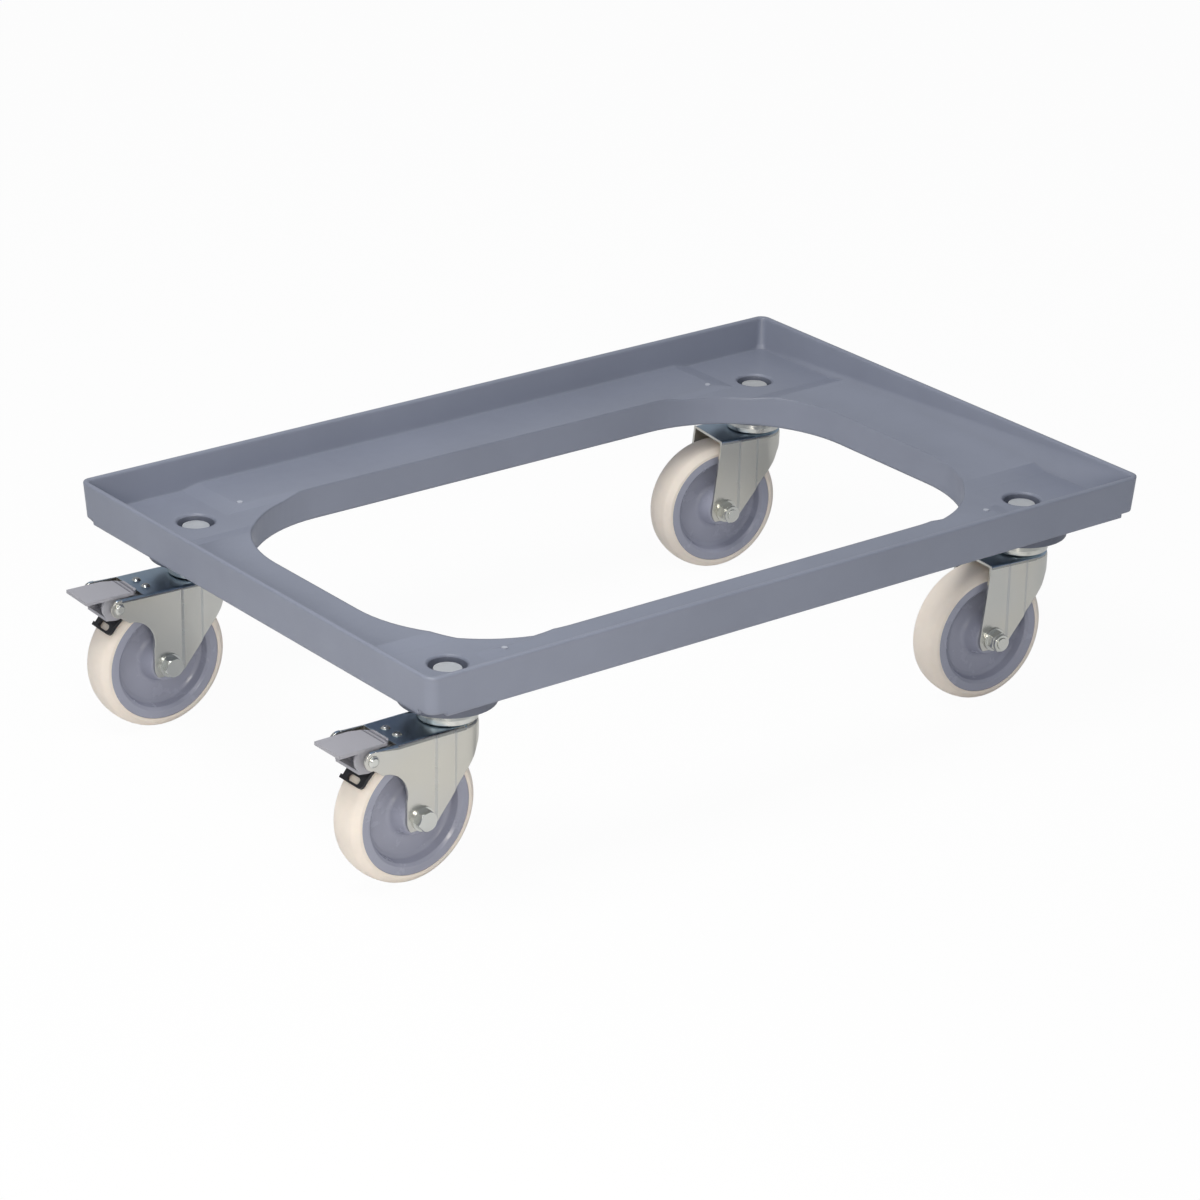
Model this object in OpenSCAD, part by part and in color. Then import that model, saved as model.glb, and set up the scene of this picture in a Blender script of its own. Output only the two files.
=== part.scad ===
// Crate dolly for 600 by 400 mm stacking crates.
// Millimetres. The dolly rolls on the floor at z = 0, its long side lies along X,
// and the side nearest the viewer is at negative Y. The brake pedals reach out at the left,
// so the deck's middle lies a little to the right of x = 0.

/* [Deck] */
// length of the rim at its top edge
deck_len = 615; // [560:1:660]
// width of the rim at its top edge
deck_wid = 415; // [370:1:440]
// height of the rim's top edge above the floor
rim_top = 167; // [155:0.5:190]
// how deep the crate stands inside the rim
deck_drop = 21.5; // [12:0.5:26]
// thickness of the deck plate
deck_thick = 3.5; // [2.5:0.1:5]
// how far the deck is lowered at its corners, around the caster seats
low_drop = 2.6; // [0.5:0.1:4]
// distance from the rim's short side to the end of the lowered corner
low_x = 93.5; // [85:0.5:110]
// distance from the rim's long side to the end of the lowered corner
low_y = 102.5; // [94:0.5:120]
// how far the lowered corner also follows the opening beyond that end
low_arm = 49; // [20:1:60]
// width of the raised strip between that arm and the rim's long side
strip_y = 55.5; // [40:0.5:58]
// width of the slope between the raised and the lowered part
low_slope = 14; // [4:0.5:20]
// full height of the outer wall
wall_height = 29.5; // [22:0.5:34]
// how far each outer wall leans in from top to bottom
wall_draft = 2; // [0:0.1:3]
// thickness of the wall at its top edge
rim_thick = 3.6; // [2.5:0.1:5]
// thickness of the wall at the deck
rim_foot = 6; // [4:0.1:8]
// radius of the outer corners
corner_r = 7.5; // [4:0.5:14]
// height of the band missing from the wall's bottom edge at each corner
notch_h = 3; // [1:0.5:5]
// length of that missing band along each wall
notch_len = 13; // [8:1:20]

/* [Opening] */
// distance from the rim's short sides to the opening
border_x = 56.5; // [50:0.5:90]
// distance from the rim's long sides to the opening
border_y = 59; // [57:0.5:80]
// corner radius of the opening
open_r = 100; // [60:1:120]
// depth of the skirt below the deck surface
skirt_depth = 23.5; // [15:0.5:30]
// thickness of the skirt around the opening
skirt_thick = 4; // [3:0.5:6]
// thickness of the ribs under the deck
rib_thick = 3; // [2:0.5:4]
// spacing of the ribs under the deck
rib_pitch = 60; // [40:5:80]
// depth of the ribs below the deck plate
rib_h = 11; // [6:1:16]
// width of the band along the walls where the ribs grow to that depth
rib_run = 24; // [15:1:40]

/* [Caster seats] */
// distance of each caster axis from the rim's short side
seat_inset_x = 57; // [54:0.5:75]
// distance of each caster axis from the rim's long side
seat_inset_y = 59.5; // [57:0.5:75]
// radius of the round boss above each caster
boss_r = 33; // [28:0.5:38]
// wall thickness of that boss
boss_wall = 3; // [2:0.5:5]
// radius of the solid core around the mounting bolt
core_r = 22; // [18:0.5:24]
// height of the boss's lower face above the floor
boss_z = 118.6; // [112:0.1:124]
// diameter of the recess for the bolt head
recess_d = 25.6; // [25:0.1:34]
// thickness of the deck's floor under the bolt head, above the boss's lower face
recess_floor = 10.9; // [6:0.1:20]
// depth of the chamfer around the recess
recess_chamfer = 1.5; // [0:0.1:2]
// diameter of the four small moulding pips on the deck
pip_d = 4; // [2:0.5:6]
// distance of each pip from the rim's short side
pip_inset_x = 97.5; // [96:0.5:115]
// distance of each pip from the rim's long side
pip_inset_y = 53; // [30:0.5:53]
// height of the pips
pip_h = 0.6; // [0.3:0.1:1]

/* [Mounting bolt] */
// diameter of the mounting bolt
mount_d = 12; // [10:0.5:14]
// clearance of the bolt in the deck's bore, on the radius
mount_clear = 0.3; // [0.1:0.05:0.6]
// width across flats of its head and nut
mount_af = 19; // [16:0.5:20]
// height of its head
mount_head_h = 7.5; // [6:0.1:9]
// length under the head
mount_len = 36; // [35:1:38]
// outer diameter of the washer under the head
mount_washer_d = 24; // [20:0.5:26]
// thickness of that washer
mount_washer_t = 2.5; // [1.5:0.1:3]
// height of the thin lock nut below
mount_nut_h = 7; // [5:0.5:8]

/* [Swivel head] */
// outer radius of the swivel cup
cup_r = 20.5; // [18:0.1:24]
// radius of the cup at its top
cup_top_r = 19; // [17:0.1:22]
// height of the cup's lower rim above the floor
cup_z = 107; // [106.8:0.1:110]
// sheet thickness of the cup
cup_t = 2.5; // [2:0.1:3]
// outer radius of the hollow king rivet
king_r = 8.5; // [7.5:0.1:10]
// running clearance between the king rivet and the fork, on the radius
king_fit = 0.05; // [0.02:0.01:0.1]
// radius of the king rivet's lower flange
flange_r = 14.5; // [12:0.1:16]
// thickness of that flange
flange_t = 2.3; // [1.5:0.1:3]
// height of the flange's lower face above the floor
flange_z = 104; // [103:0.1:105]
// pitch radius of the ball ring
ball_pitch = 13.5; // [12:0.1:15]
// radius of the balls
ball_r = 3; // [2.5:0.1:3.2]

/* [Fork] */
// half the outer width of the fork
fork_half = 20.5; // [19:0.1:24]
// thickness of the fork's sheet
fork_t = 2.5; // [2:0.1:3]
// height of the fork's top face above the floor
fork_top = 106.4; // [105:0.1:107]
// how far the fork's swivel seat is raised
seat_rise = 3; // [2:0.1:4]
// radius of that raised seat
seat_r = 16.5; // [15:0.1:17.5]
// distance from the swivel axis to the wheel axle
trail = 34; // [28:0.5:40]
// height of the wheel axle above the floor
axle_z = 50; // [45:0.5:55]
// radius of the fork's lower end around the axle
tip_r = 12; // [10:0.5:14]
// height of the flat lower edge of the fork's sides above the floor
tip_z = 42.2; // [38:0.1:44]
// length of a plain fork's top behind the swivel axis
fork_back = 39.5; // [36:0.5:44]
// length of a brake fork's top behind the swivel axis
brake_back = 53; // [50:0.5:56]

/* [Wheel] */
// radius of the wheel with its tread
wheel_r = 50; // [45:0.5:55]
// half the width of the wheel's rim
rim_half = 13.4; // [11:0.1:15]
// radius at which the tread starts
tread_seat = 42.3; // [40:0.1:45]
// gap between the tread and its seat
tread_gap = 0.02; // [0.01:0.01:0.05]
// radius of the curve across the tread
crown_r = 34; // [25:1:60]
// radius of the tread's rounded shoulders
shoulder_r = 15.5; // [14:0.1:18]
// inner radius of the rim at its face
rim_in_face = 36.5; // [34:0.1:38]
// inner radius of the rim at the wheel's disc
rim_in_disc = 33.5; // [30:0.1:36]
// half the thickness of the wheel's disc
disc_half = 4.5; // [3:0.1:7]
// radius of the hub
hub_r = 13.5; // [11:0.1:16]
// half the length of the hub
hub_half = 17.3; // [16:0.1:17.5]
// radius of the axle bush
bush_r = 6; // [5:0.1:8]
// running clearance between bush and wheel, on the radius
bush_fit = 0.06; // [0.02:0.01:0.1]

/* [Axle bolt] */
// diameter of the axle bolt
axle_d = 8; // [6:0.5:10]
// clearance of the bolt in the bush and the fork, on the radius
axle_clear = 0.1; // [0.05:0.05:0.3]
// width across flats of its head and nut
axle_af = 13; // [10:0.5:17]
// height of its head
axle_head_h = 5.3; // [4:0.1:7]
// height of its lock nut
axle_nut_h = 8; // [6:0.1:9]
// outer diameter of its washers
axle_washer_d = 17; // [14:0.5:20]
// thickness of its washers
axle_washer_t = 1.6; // [1:0.1:2]
// how far the bolt's end stands out of the nut
axle_end = 0.8; // [0.3:0.1:3]

/* [Brake] */
// distance from the swivel axis to the pedal's pivot
pivot_x = 72.5; // [68:0.5:76]
// height of the pedal's pivot above the floor
pivot_z = 100.3; // [97:0.1:103]
// radius of the fork's lobe around the pivot
lobe_r = 6.5; // [5.5:0.1:9]
// radius of the pivot rivet
pivot_r = 2.5; // [2:0.1:3.5]
// running clearance between the pedal and its rivet, on the radius
pivot_fit = 0.05; // [0.02:0.01:0.1]
// radius of the pivot rivet's heads
pivot_head_r = 4; // [3.6:0.1:5.5]
// height of those heads
pivot_head_h = 1.8; // [1:0.1:3]
// half the width of the pedal
pedal_half = 13.8; // [12:0.1:14.5]
// how far the pedal's middle lies to one side of the fork's middle
pedal_side = 2.2; // [0:0.1:2.6]
// front edge of the pedal's upper pad, from the swivel axis
pad_front = 55; // [54.5:0.1:58]
// rear edge of the pedal's upper pad, from the swivel axis
pad_back = 96; // [90:0.5:100]
// height of the pad's lower face above the floor
pad_z = 106.4; // [106.2:0.1:109]
// thickness of the pad
pad_t = 2.5; // [2:0.1:4]
// outer radius of the pedal's ears
ear_r = 8; // [7:0.1:9]
// thickness of the pedal's ears
ear_t = 2.5; // [2:0.1:4]
// thickness of the pedal's lower jaw
jaw_t = 2; // [1.5:0.1:3]
// how far the jaw reaches behind the pivot
jaw_len = 7.5; // [5:0.5:14]
// upward slope of the jaw in degrees
jaw_slope = 8; // [0:1:30]
// half the width of the release tab
tab_half = 11; // [8:0.5:12]
// how far the tab's middle lies to one side of the fork's middle
tab_side = 2.5; // [0:0.1:3]
// thickness of the release tab
tab_t = 2.2; // [1.6:0.1:3]
// gap between the release tab and the tread
tab_gap = 0.7; // [0.4:0.1:2]
// half the height of the slot in the tab
slot_r = 2.3; // [1.5:0.1:3]
// width of the tab's bars at both ends of the slot
tab_edge = 4.6; // [3:0.1:6]
// radius of the tab's rounded lower corner
tab_round = 3; // [1:0.1:4]
// thickness of the brake's spring blade
blade_t = 1.4; // [1:0.1:2]
// half the width of the spring blade
blade_half = 11; // [8:0.5:13]
// distance of the blade's rivets from the swivel axis
blade_rivet_x = 44.3; // [42:0.1:47]
// distance of each blade rivet from the fork's middle
blade_rivet_y = 6.3; // [5:0.1:8]
// radius of the blade rivets' heads
blade_rivet_r = 3.4; // [2.5:0.1:4]

/* [Swivel positions as shown] */
// turn of the front left caster, 180 trails along the length
yaw_fl = 180.4; // [0:0.1:360]
// turn of the front right caster
yaw_fr = 174.9; // [0:0.1:360]
// turn of the rear left caster
yaw_rl = 177.6; // [0:0.1:360]
// turn of the rear right caster
yaw_rr = 171.7; // [0:0.1:360]

/* [Hidden] */
$fn = 48;
deck_z = rim_top - deck_drop;
plate_z = deck_z - deck_thick;
low_z = deck_z - low_drop;
low_plate_z = low_z - deck_thick;
wall_z = rim_top - wall_height;
skirt_z = deck_z - skirt_depth;
recess_z = boss_z + recess_floor;
head_z = recess_z + mount_washer_t;
seat_x = deck_len / 2 - seat_inset_x;
seat_y = deck_wid / 2 - seat_inset_y;
open_len = deck_len - 2 * border_x;
open_wid = deck_wid - 2 * border_y;
pip_x = deck_len / 2 - pip_inset_x;
pip_y = deck_wid / 2 - pip_inset_y;
fork_in = fork_half - fork_t;
fork_under = fork_top - fork_t;
cup_top = boss_z;
tread_in = tread_seat + tread_gap;
bush_half = fork_in - 0.02;
hex = 2 / sqrt(3);
// the front edge of the fork passes this point, seen from the side
nose_x = 0;
nose_z = 73.5;
// and above that it runs through these two points, up to this height at the very front
lip_x = -8;
lip_z = 82.5;
cheek_x = -12;
cheek_z = 89;
cheek_top = 97;
// tangent points of the fork's edges on its round lower end
rear_d = norm([fork_back - trail, fork_top - axle_z]);
rear_a = atan2(fork_top - axle_z, fork_back - trail) - acos(tip_r / rear_d);
nose_d = norm([nose_x - trail, nose_z - axle_z]);
nose_a = atan2(nose_z - axle_z, nose_x - trail) + acos(tip_r / nose_d);
rear_t = [trail + tip_r * cos(rear_a), axle_z + tip_r * sin(rear_a)];
nose_t = [trail + tip_r * cos(nose_a), axle_z + tip_r * sin(nose_a)];
// centre and radius of the hollow curve below a brake fork's arm
hollow_x = trail + tip_r + 19;
hollow_z = 69;
hollow_r = 19.5;
// the release tab follows the tread between these two angles above the axle's level
tab_a0 = 34;
tab_a1 = 50;
// how far the rear left pedal reaches back from the deck's middle
pedal_out = pedal_side + pedal_half;
pedal_reach = seat_x + pad_back * abs(cos(yaw_rl)) + pedal_out * abs(sin(yaw_rl));
// moves everything so that the whole object is centred along its length
mid_x = (pedal_reach - deck_len / 2) / 2;

// one caster's own frame: x runs from the swivel axis to the axle, z from the floor
module at_fl() translate([mid_x - seat_x, -seat_y, 0]) rotate([0, 0, yaw_fl]) children();
module at_fr() translate([mid_x + seat_x, -seat_y, 0]) rotate([0, 0, yaw_fr]) children();
module at_rl() translate([mid_x - seat_x, seat_y, 0]) rotate([0, 0, yaw_rl]) children();
module at_rr() translate([mid_x + seat_x, seat_y, 0]) rotate([0, 0, yaw_rr]) children();
module on_deck() translate([mid_x, 0, 0]) children();
module at_seats() {
  for (sx = [-1, 1])
    for (sy = [-1, 1])
      translate([sx * seat_x, sy * seat_y, 0]) children();
}
// turns a solid drawn along z so that it lies along the wheel's axle
module on_axle() translate([trail, 0, axle_z]) rotate([-90, 0, 0]) children();
// extrudes a side view, x and z, across the caster between two y values
module side_view(y0, y1) translate([0, y1, 0]) rotate([90, 0, 0])
  linear_extrude(height = y1 - y0) children();

// rounded rectangle around the middle
module round_rect(l, w, r) {
  square([l - 2 * r, w], center = true);
  square([l, w - 2 * r], center = true);
  for (sx = [-1, 1])
    for (sy = [-1, 1])
      translate([sx * (l / 2 - r), sy * (w / 2 - r)]) circle(r = r);
}
// drafted block: a bottom outline that grows to the top size
module drafted(l0, w0, l1, w1, r, z0, z1) {
  translate([0, 0, z0])
    linear_extrude(height = z1 - z0, scale = [l1 / l0, w1 / w0], slices = 1)
      round_rect(l0, w0, r, $fn = 40);
}

// the moulded deck: rim, deck plate, skirt, ribs and the four caster bosses
module deck_frame() {
  out_l0 = deck_len - 2 * wall_draft;
  out_w0 = deck_wid - 2 * wall_draft;
  foot_l = deck_len - 2 * rim_foot;
  foot_w = deck_wid - 2 * rim_foot;
  color([0.50, 0.52, 0.57]) {
    difference() {
      drafted(out_l0, out_w0, deck_len, deck_wid, corner_r, wall_z, rim_top);
      // the well that takes the crate
      drafted(foot_l, foot_w, deck_len - 2 * rim_thick, deck_wid - 2 * rim_thick,
        corner_r - rim_thick + 1, deck_z, rim_top + 0.02);
      // the hollow underside
      translate([0, 0, wall_z - 1]) linear_extrude(height = low_plate_z - wall_z + 1)
        round_rect(out_l0 - 8, out_w0 - 8, corner_r - 3);
      translate([0, 0, low_plate_z - 1]) linear_extrude(height = plate_z - low_plate_z + 1)
        intersection() {
          round_rect(out_l0 - 8, out_w0 - 8, corner_r - 3);
          raised_plan(6);
        }
      // the lowered corners
      difference() {
        translate([0, 0, low_z]) linear_extrude(height = low_drop + 0.4)
          round_rect(foot_l, foot_w, corner_r);
        raised_blocks();
      }
      // the opening
      translate([0, 0, low_plate_z - 1]) linear_extrude(height = deck_z - low_plate_z + 2)
        round_rect(open_len, open_wid, open_r, $fn = 160);
      seat_cuts();
      corner_notches(out_l0, out_w0);
    }
    // the skirt around the opening
    translate([0, 0, skirt_z]) linear_extrude(height = plate_z + 0.4 - skirt_z)
      difference() {
        round_rect(open_len + 2 * skirt_thick, open_wid + 2 * skirt_thick,
          open_r + skirt_thick, $fn = 160);
        round_rect(open_len, open_wid, open_r, $fn = 160);
      }
    intersection() {
      ribs(out_l0 - 8, out_w0 - 8);
      rib_limit(out_l0 - 6, out_w0 - 6);
    }
    bosses();
    for (sx = [-1, 1])
      for (sy = [-1, 1])
        translate([sx * pip_x, sy * pip_y, deck_z - 1]) cylinder(d = pip_d, h = 1 + pip_h);
  }
}
// block whose outline changes from bottom to top
module taper(l0, w0, l1, w1) translate([0, 0, low_z - 1])
  linear_extrude(height = low_drop + 2, scale = [l1 / l0, w1 / w0], slices = 1)
    square([l0, w0], center = true);
// the raised part of the deck seen from above, made narrower by a margin
module raised_plan(m) {
  square([deck_len - 2 * (low_x + low_arm) - m, deck_wid], center = true);
  square([deck_len, deck_wid - 2 * low_y - m], center = true);
  difference() {
    square([deck_len - 2 * low_x - m, deck_wid], center = true);
    square([deck_len, deck_wid - 2 * strip_y + m], center = true);
  }
}
// the raised part with its slopes, reaching a little past the deck's surface
module raised_blocks() {
  up = 2 * low_slope / low_drop;
  arm = deck_len - 2 * (low_x + low_arm) - up;
  ax = deck_len - 2 * low_x - up;
  ay = deck_wid - 2 * low_y - up;
  strip = deck_wid - 2 * strip_y + up / 2;
  s = up * (low_drop + 2);
  taper(arm + s, deck_wid, arm, deck_wid);
  taper(deck_len, ay + s, deck_len, ay);
  difference() {
    taper(ax + s, deck_wid, ax, deck_wid);
    taper(deck_len + 1, strip - s / 2, deck_len + 1, strip);
  }
}
// recesses for the bolt heads
module seat_cuts() {
  at_seats() {
    translate([0, 0, recess_z]) cylinder(d = recess_d, h = deck_z - recess_z + 1);
    translate([0, 0, boss_z - 1]) cylinder(r = mount_d / 2 + mount_clear, h = recess_z - boss_z + 2);
    translate([0, 0, low_z - recess_chamfer])
      cylinder(d1 = recess_d, d2 = recess_d + 2.2 * recess_chamfer,
        h = 1.1 * recess_chamfer);
  }
}
module corner_notches(l, w) {
  for (sx = [-1, 1])
    for (sy = [-1, 1])
      translate([sx * l / 2, sy * w / 2, wall_z])
        cube([2 * notch_len, 2 * notch_len, 2 * notch_h], center = true);
}
module ribs(l, w) {
  difference() {
    translate([0, 0, plate_z - rib_h]) linear_extrude(height = rib_h + 0.4)
      difference() {
        union() {
          for (x = [-4 * rib_pitch : rib_pitch : 4 * rib_pitch])
            translate([x, 0]) square([rib_thick, w + 1], center = true);
          for (y = [-2 * rib_pitch : rib_pitch : 2 * rib_pitch])
            translate([0, y]) square([l + 1, rib_thick], center = true);
        }
        round_rect(open_len + 2, open_wid + 2, open_r + 1, $fn = 160);
      }
    at_seats() translate([0, 0, boss_z]) cylinder(r = boss_r - 1, h = deck_z - boss_z);
  }
}
// the space that the ribs may fill: they rise toward the walls
module rib_limit(l, w) {
  in_l = l - 2 * rib_run;
  in_w = w - 2 * rib_run;
  translate([0, 0, plate_z - rib_h])
    linear_extrude(height = wall_z - plate_z + rib_h, scale = [l / in_l, w / in_w], slices = 1)
      square([in_l, in_w], center = true);
  translate([0, 0, wall_z]) linear_extrude(height = deck_z - wall_z - 1)
    square([l, w], center = true);
}
// one round boss, its core, six webs and the bolt's bore
module bosses() {
  at_seats() difference() {
    union() {
      difference() {
        translate([0, 0, boss_z]) cylinder(r = boss_r, h = low_plate_z - boss_z + 1);
        translate([0, 0, boss_z - 1]) cylinder(r = boss_r - boss_wall, h = low_plate_z - boss_z + 1);
      }
      translate([0, 0, boss_z]) cylinder(r = core_r, h = low_plate_z - boss_z + 1);
      for (a = [0 : 60 : 120])
        rotate([0, 0, a + 30]) translate([0, 0, (boss_z + 2 + low_plate_z + 1) / 2])
          cube([2 * boss_r - 2, rib_thick, low_plate_z - boss_z - 1], center = true);
    }
    translate([0, 0, recess_z]) cylinder(d = recess_d, h = deck_z - recess_z);
    translate([0, 0, boss_z - 1]) cylinder(r = mount_d / 2 + mount_clear, h = recess_z - boss_z + 2);
  }
}

// four bolts, heads in the deck's recesses
module mount_bolts() color([0.75, 0.76, 0.78]) at_seats() {
  translate([0, 0, head_z - mount_len]) cylinder(d = mount_d, h = mount_len + 0.5);
  translate([0, 0, head_z]) intersection() {
    cylinder(d = mount_af * hex, h = mount_head_h, $fn = 6);
    cylinder(d1 = mount_af * hex + 2, d2 = mount_af - 1, h = mount_head_h + 1.2);
  }
}
module mount_washers() color([0.75, 0.76, 0.78]) at_seats()
  translate([0, 0, recess_z]) difference() {
    cylinder(d = mount_washer_d, h = mount_washer_t);
    translate([0, 0, -1]) cylinder(r = mount_d / 2 + mount_clear, h = mount_washer_t + 2);
  }
module mount_nuts() color([0.75, 0.76, 0.78]) at_seats()
  translate([0, 0, flange_z - mount_nut_h]) difference() {
    cylinder(d = mount_af * hex, h = mount_nut_h, $fn = 6);
    translate([0, 0, -1]) cylinder(r = mount_d / 2 + 0.02, h = mount_nut_h + 2);
  }

// the cup that covers the ball ring, fixed under the boss
module cup_shape() color([0.72, 0.73, 0.74]) difference() {
  union() {
    translate([0, 0, cup_z]) cylinder(r = cup_r, h = 3);
    translate([0, 0, cup_z + 3]) cylinder(r1 = cup_r, r2 = cup_top_r, h = cup_top - cup_z - 3);
  }
  translate([0, 0, cup_z - 1]) cylinder(r = cup_top_r - cup_t + 1, h = cup_top - cup_t - cup_z + 1);
  translate([0, 0, cup_z]) cylinder(r = king_r + 0.02, h = cup_top - cup_z + 1);
}
// the hollow rivet that holds cup and fork together
module king_shape() color([0.70, 0.71, 0.72]) difference() {
  union() {
    translate([0, 0, flange_z]) cylinder(r = flange_r, h = flange_t);
    translate([0, 0, flange_z]) cylinder(r = king_r, h = cup_top - 0.1 - flange_z);
  }
  translate([0, 0, flange_z - 1]) cylinder(r = mount_d / 2 + 0.1, h = cup_top - flange_z + 2);
}
module ball_shape() color([0.6, 0.6, 0.62])
  translate([0, 0, (fork_top + seat_rise + cup_top - cup_t) / 2])
    rotate_extrude() translate([ball_pitch, 0]) circle(r = ball_r);

// seen from above: a rounded front around the swivel axis and straight sides
module fork_plan(half, back) {
  circle(r = half);
  translate([0, -half]) square([back, 2 * half]);
}
// seen from the side: the plain fork
module plain_side() {
  polygon([[-fork_half, fork_top], [-fork_half, cheek_top], [cheek_x, cheek_z], [lip_x, lip_z],
    [nose_x, nose_z], nose_t, [trail, axle_z], rear_t, [fork_back, fork_top]]);
  fork_tip();
}
// the round lower end with its flat edge
module fork_tip() intersection() {
  translate([trail, axle_z]) circle(r = tip_r);
  translate([trail - 2 * tip_r, tip_z]) square(4 * tip_r);
}
// seen from the side: the brake fork with its arm for the pedal
module brake_side() {
  difference() {
    union() {
      polygon([[-fork_half, fork_top], [-fork_half, cheek_top], [cheek_x, cheek_z], [lip_x, lip_z],
        [nose_x, nose_z], nose_t, [trail, axle_z], [trail + tip_r, axle_z],
        [trail + tip_r, hollow_z], [hollow_x, hollow_z], [hollow_x, hollow_z + hollow_r],
        [pivot_x, pivot_z - lobe_r], [pivot_x - 1.6, pivot_z + lobe_r - 0.15],
        [brake_back, fork_top]]);
      translate([pivot_x, pivot_z]) circle(r = lobe_r);
    }
    translate([hollow_x, hollow_z]) circle(r = hollow_r);
  }
  fork_tip();
}
// the folded sheet of a fork, given how far its top reaches back
module fork_sheet(back, reach) {
  difference() {
    union() {
      intersection() {
        side_view(-fork_half, fork_half) children();
        translate([0, 0, 30]) linear_extrude(height = fork_top + 10 - 30)
          difference() {
            fork_plan(fork_half, reach);
            fork_plan(fork_in, reach + 1);
          }
      }
      translate([0, 0, fork_under]) linear_extrude(height = fork_t) intersection() {
        fork_plan(fork_half, reach);
        translate([-fork_half, -fork_half]) square([fork_half + back, 2 * fork_half]);
      }
      translate([0, 0, fork_under]) cylinder(r = seat_r, h = fork_t + seat_rise);
    }
    translate([0, 0, fork_under - 1]) cylinder(r = seat_r - 1.3, h = seat_rise + 1);
    translate([0, 0, fork_under]) cylinder(r = king_r + king_fit, h = fork_t + seat_rise + 1);
    on_axle() translate([0, 0, -fork_half - 1])
      cylinder(r = axle_d / 2 + axle_clear, h = 2 * fork_half + 2);
  }
}
module plain_fork() color([0.72, 0.74, 0.74]) fork_sheet(fork_back, fork_back + 12) plain_side();
module brake_fork() color([0.72, 0.74, 0.74]) difference() {
  fork_sheet(brake_back, pivot_x + lobe_r + 1) brake_side();
  translate([pivot_x, fork_half + 1, pivot_z]) rotate([90, 0, 0])
    cylinder(r = pivot_r + 0.02, h = 2 * fork_half + 2);
  for (s = [-1, 1])
    translate([blade_rivet_x, s * blade_rivet_y, fork_under - 1]) cylinder(r = 1.82, h = fork_t + 2);
}

// half section of the wheel's plastic body, radius and half width
module wheel_shape() color([0.45, 0.46, 0.55]) on_axle() difference() {
  rotate_extrude($fn = 96) polygon([
    [bush_r + bush_fit, -hub_half], [hub_r - 1, -hub_half], [hub_r, -hub_half + 1],
    [hub_r + 1, -disc_half], [rim_in_disc, -disc_half], [rim_in_face, -rim_half + 0.6],
    [rim_in_face + 0.6, -rim_half], [tread_seat, -rim_half],
    [tread_seat, rim_half], [rim_in_face + 0.6, rim_half],
    [rim_in_face, rim_half - 0.6], [rim_in_disc, disc_half], [hub_r + 1, disc_half],
    [hub_r, hub_half - 1], [hub_r - 1, hub_half], [bush_r + bush_fit, hub_half]]);
}
module tread_shape() color([0.86, 0.82, 0.76]) on_axle()
  rotate_extrude($fn = 96) intersection() {
    translate([tread_in, -rim_half]) square([wheel_r - tread_in + 1, 2 * rim_half]);
    translate([wheel_r - crown_r, 0]) circle(r = crown_r, $fn = 96);
    translate([wheel_r + 2 - shoulder_r, 0]) circle(r = shoulder_r, $fn = 96);
  }
module bush_shape() color([0.7, 0.7, 0.72]) on_axle() difference() {
  translate([0, 0, -bush_half]) cylinder(r = bush_r, h = 2 * bush_half);
  translate([0, 0, -bush_half - 1]) cylinder(r = axle_d / 2 + axle_clear, h = 2 * bush_half + 2);
}
// bolt with head and washer on one side, shank reaching through the nut; s is the head's side
module axle_bolt_shape(s) color([0.78, 0.79, 0.8]) on_axle() scale_side(s) {
  translate([0, 0, fork_half]) cylinder(d = axle_washer_d, h = axle_washer_t);
  translate([0, 0, fork_half + axle_washer_t]) intersection() {
    rotate([0, 0, 10]) cylinder(d = axle_af * hex, h = axle_head_h, $fn = 6);
    cylinder(d1 = axle_af * hex + 6, d2 = axle_af - 0.6, h = axle_head_h + 0.6);
  }
  translate([0, 0, -fork_half - axle_washer_t - axle_nut_h - axle_end])
    cylinder(d = axle_d, h = 2 * fork_half + 2 * axle_washer_t + axle_nut_h + axle_end + 0.5);
}
// lock nut with its washer, on the side away from the head
module axle_nut_shape(s) color([0.78, 0.79, 0.8]) on_axle() scale_side(-s) difference() {
  union() {
    translate([0, 0, fork_half]) cylinder(d = axle_washer_d, h = axle_washer_t);
    translate([0, 0, fork_half + axle_washer_t]) {
      rotate([0, 0, 20]) cylinder(d = axle_af * hex, h = axle_nut_h - 2.4, $fn = 6);
      cylinder(d = axle_af - 0.6, h = axle_nut_h);
    }
  }
  translate([0, 0, fork_half - 1])
    cylinder(r = axle_d / 2 + 0.02, h = axle_washer_t + axle_nut_h + 2);
}
// turns a part that points along the axle to the other side
module scale_side(s) rotate([s > 0 ? 0 : 180, 0, 0]) children();

// one cheek of the pedal seen from the side, with the rivet's bore
module ear_side() {
  difference() {
    union() {
      translate([pivot_x, pivot_z]) circle(r = ear_r + jaw_t);
      polygon([[pivot_x - ear_r, pivot_z], [pivot_x - ear_r, pad_z + 0.5],
        [pivot_x + 0.6, pad_z + 0.5], [pivot_x + 6.3, pivot_z - 1.3],
        [pivot_x + 8.2, pivot_z - 7.4], [pivot_x, pivot_z - 6]]);
      jaw_side();
    }
    translate([pivot_x, pivot_z]) circle(r = pivot_r + pivot_fit);
    // the cheek ends inside the pad
    translate([pivot_x - 30, pad_z + 0.5]) square([60, 30]);
  }
}
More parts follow.
